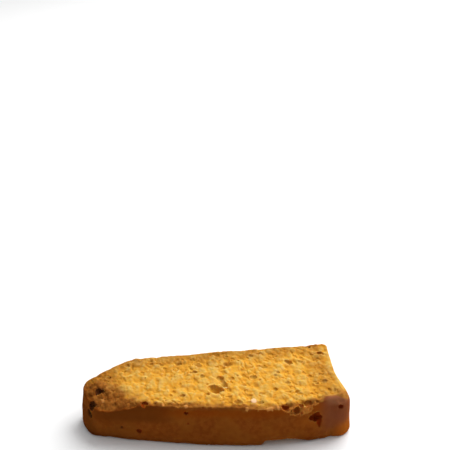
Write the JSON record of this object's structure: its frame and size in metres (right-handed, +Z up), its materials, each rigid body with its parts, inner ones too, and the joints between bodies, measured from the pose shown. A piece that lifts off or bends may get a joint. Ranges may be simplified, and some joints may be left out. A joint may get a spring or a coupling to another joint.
{
  "type": "almond rusk",
  "caption": "Toasted slice of almond loaf cake lying on a cut face: golden open crumb above, brown crust on a bowed side, a square end and a rounded nose.",
  "frame": {"origin": "middle of the slice's length and width, on the plane of the lower cut face that it rests on", "axes": "+X along the length towards the square end; -Y towards the bowed crust side; +Z up, out of the upper cut face"},
  "size_m": [0.1024, 0.0444, 0.0181],
  "materials": {
    "rusk": "matte, dry open crumb with browned crust"
  },
  "bodies": {
    "root": {"rusk": "rusk"}
  },
  "joints": []
}
